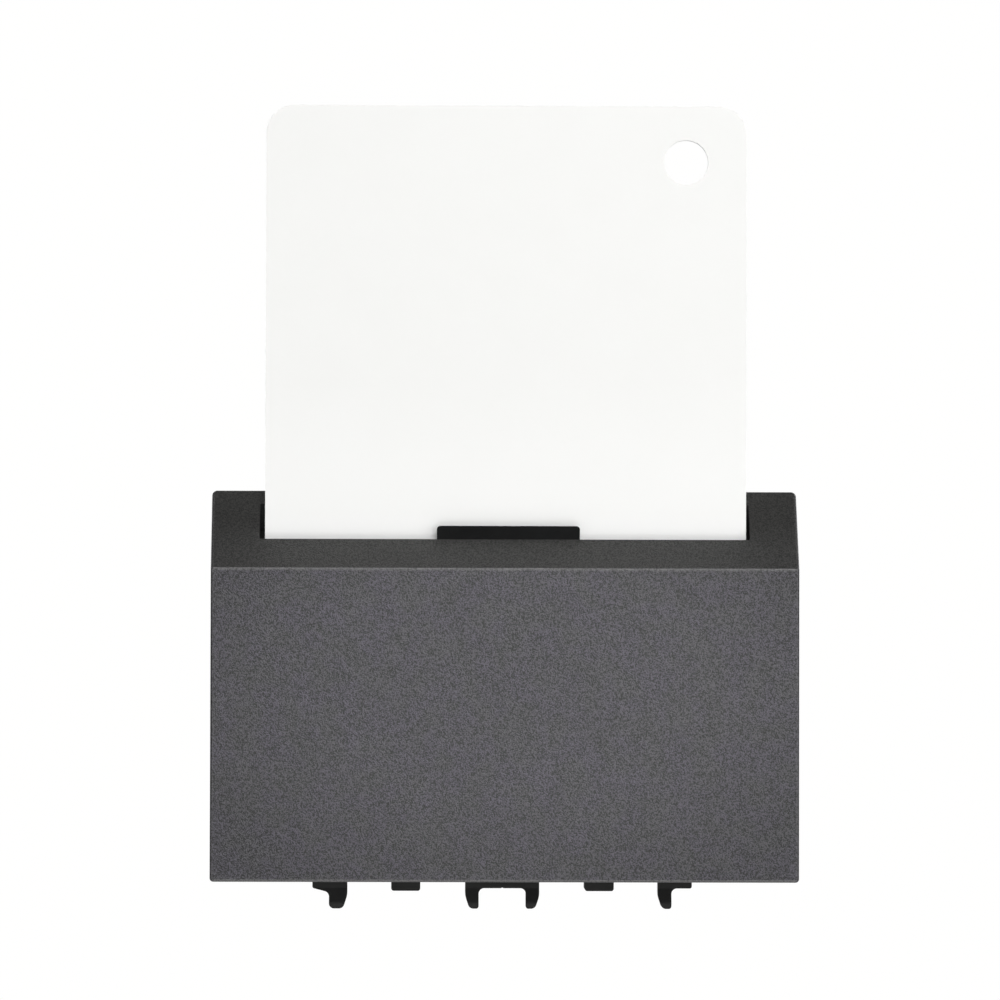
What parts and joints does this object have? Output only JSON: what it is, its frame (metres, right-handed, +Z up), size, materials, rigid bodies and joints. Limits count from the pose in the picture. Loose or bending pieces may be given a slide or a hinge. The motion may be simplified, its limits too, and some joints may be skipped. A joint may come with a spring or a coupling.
{
  "type": "hotel key card switch",
  "caption": "Wall switch that is held on by a hotel key card standing in a slot in its sloping top, with a lever, a snap-action switch and rear screw terminals.",
  "frame": {"origin": "centre of the device in the plane of the wall, where the cover's rear rim lies", "axes": "+X to the right, +Y back into the wall, +Z up, the way the card is pulled out"},
  "size_m": [0.0662, 0.0404, 0.0913],
  "materials": {
    "graphite_cover": "fine-grained moulding with a slight metallic glint",
    "black_plastic": "satin moulding",
    "smooth_black": "smooth moulding",
    "white_card": "laminated card, low gloss",
    "clear_lens": "clear moulding, polished",
    "led_resin": "clear resin, white package",
    "circuit_board": "green solder mask",
    "resistor_coat": "baked lacquer",
    "black_resin": "moulded epoxy",
    "lever_plastic": "natural acetal, satin",
    "steel": "zinc plated",
    "spring_steel": "cold rolled",
    "switch_body": "filled thermoset, satin",
    "plunger_plastic": "red acetal",
    "contact_metal": "copper alloy with silver contacts",
    "brass": "stamped, bright",
    "frame_plastic": "satin moulding",
    "housing_plastic": "satin moulding"
  },
  "bodies": {
    "root": {"front_cover": "graphite_cover", "card_pocket": "black_plastic", "card_clip": "smooth_black", "locator_lens": "clear_lens", "locator_led": "led_resin", "lamp_board": "circuit_board", "lamp_resistor": "resistor_coat", "lamp_diode": "black_resin", "lever_pin": "steel", "lever_spring": "spring_steel", "switch_case": "switch_body", "switch_lid": "switch_body", "snap_spring": "spring_steel", "common_contact": "brass", "working_contact": "brass", "resting_contact": "brass", "switch_screw": "steel", "mounting_frame": "frame_plastic", "frame_screws": "steel", "rear_housing": "housing_plastic", "terminal_cages": "brass", "terminal_screws": "steel", "common_busbar": "brass", "working_busbar": "brass", "resting_busbar": "brass", "neutral_busbar": "brass"},
    "card": {"key_card": "white_card"},
    "lever": {"switch_lever": "lever_plastic"},
    "plunger": {"switch_plunger": "plunger_plastic"},
    "blade": {"contact_blade": "contact_metal"}
  },
  "joints": [
    {"name": "card_slide", "type": "slide", "parent": "root", "child": "card", "axis": [0, 0, 1], "range_m": [0, 0.045]},
    {"name": "lever_hinge", "type": "hinge", "parent": "root", "child": "lever", "pos_m": [0, -0.00219, -0.00544], "axis": [-1, 0, 0], "range_deg": [0, 6.6]},
    {"name": "plunger_slide", "type": "slide", "parent": "root", "child": "plunger", "axis": [0, -1, 0], "range_m": [0, 0.00063]},
    {"name": "blade_hinge", "type": "hinge", "parent": "root", "child": "blade", "pos_m": [-0.0123, 0.00546, -0.01153], "axis": [0, 0, -1], "range_deg": [0, 2]}
  ],
  "couplings": [
    {"joint": "lever_hinge", "follows": "card_slide", "rad_per_m": 2.521},
    {"joint": "plunger_slide", "follows": "card_slide", "ratio": 0.013778},
    {"joint": "blade_hinge", "follows": "card_slide", "rad_per_m": 0.73692}
  ]
}
